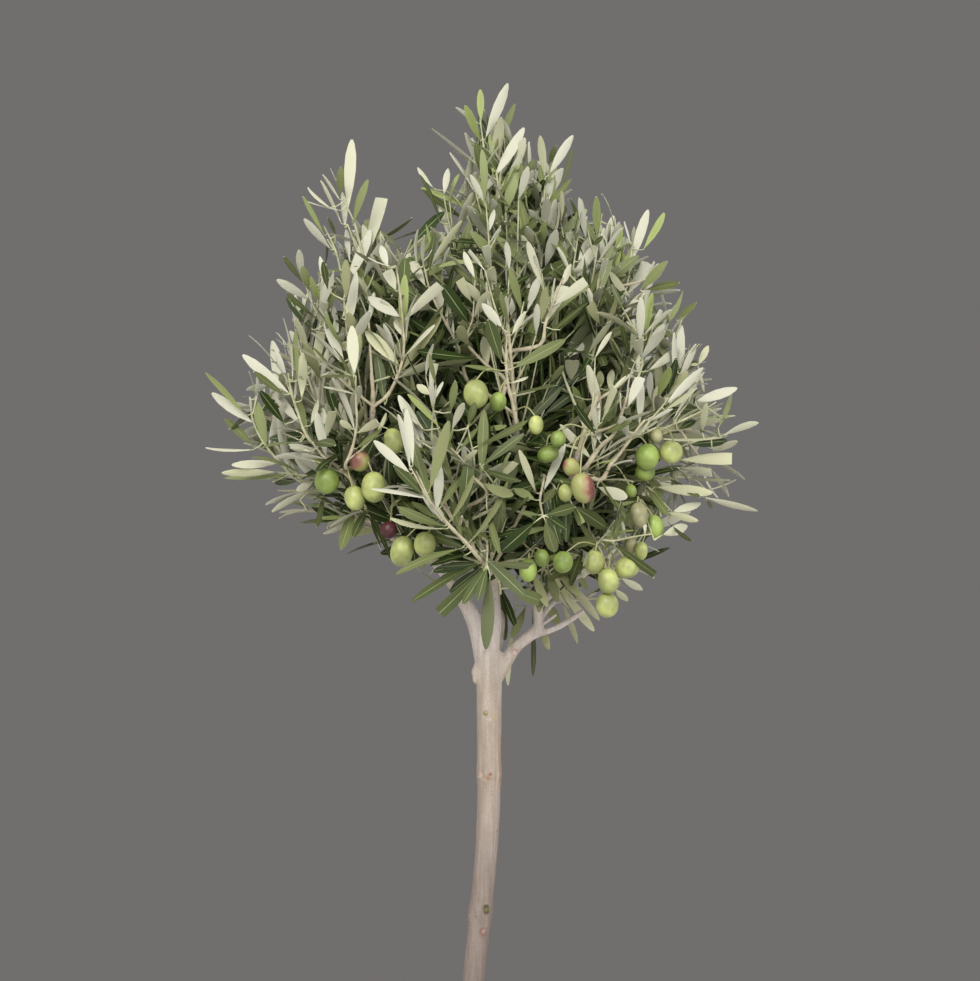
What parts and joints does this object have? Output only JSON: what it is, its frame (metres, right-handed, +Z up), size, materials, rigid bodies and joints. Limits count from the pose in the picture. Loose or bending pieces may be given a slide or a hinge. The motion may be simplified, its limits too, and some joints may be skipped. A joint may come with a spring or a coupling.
{
  "type": "potted olive tree",
  "caption": "Young olive trained as a standard in a plain clay pot: slim leaning trunk, branched round head of narrow leaves with green olives.",
  "frame": {"origin": "centre of the pot's flat underside, on the surface it stands on", "axes": "+Z up along the trunk; -Y the front, the side that is seen; +X to the right as seen from the front"},
  "size_m": [0.5225, 0.4611, 1.1625],
  "materials": {
    "clay": "matt unglazed fired clay",
    "soil": "dark crumbly bark compost",
    "bark": "smooth pale grey-beige young bark",
    "foliage": "leathery grey-green leaves, silver beneath"
  },
  "bodies": {
    "root": {"pot": "clay", "soil": "soil", "trunk": "bark", "limb_back": "bark", "limb_centre": "bark", "limb_left": "bark", "limb_right": "bark", "bough_back_left": "bark", "bough_back_right": "bark", "bough_back_top": "bark", "bough_front_high": "bark", "bough_front_left": "bark", "bough_front_low": "bark", "bough_front_right": "bark", "bough_low_back": "bark", "bough_lower_left": "bark", "bough_lower_right": "bark", "bough_upper_left": "bark", "bough_upper_right": "bark", "pruned_stub": "bark", "pruned_twig": "bark", "foliage_back_left": "foliage", "foliage_back_low": "foliage", "foliage_back_right": "foliage", "foliage_back_top": "foliage", "foliage_front_high": "foliage", "foliage_front_left": "foliage", "foliage_front_low": "foliage", "foliage_front_right": "foliage", "foliage_left": "foliage", "foliage_low_back": "foliage", "foliage_lower_left": "foliage", "foliage_lower_right": "foliage", "foliage_right": "foliage", "foliage_top": "foliage", "foliage_upper_left": "foliage", "foliage_upper_right": "foliage"}
  },
  "joints": []
}
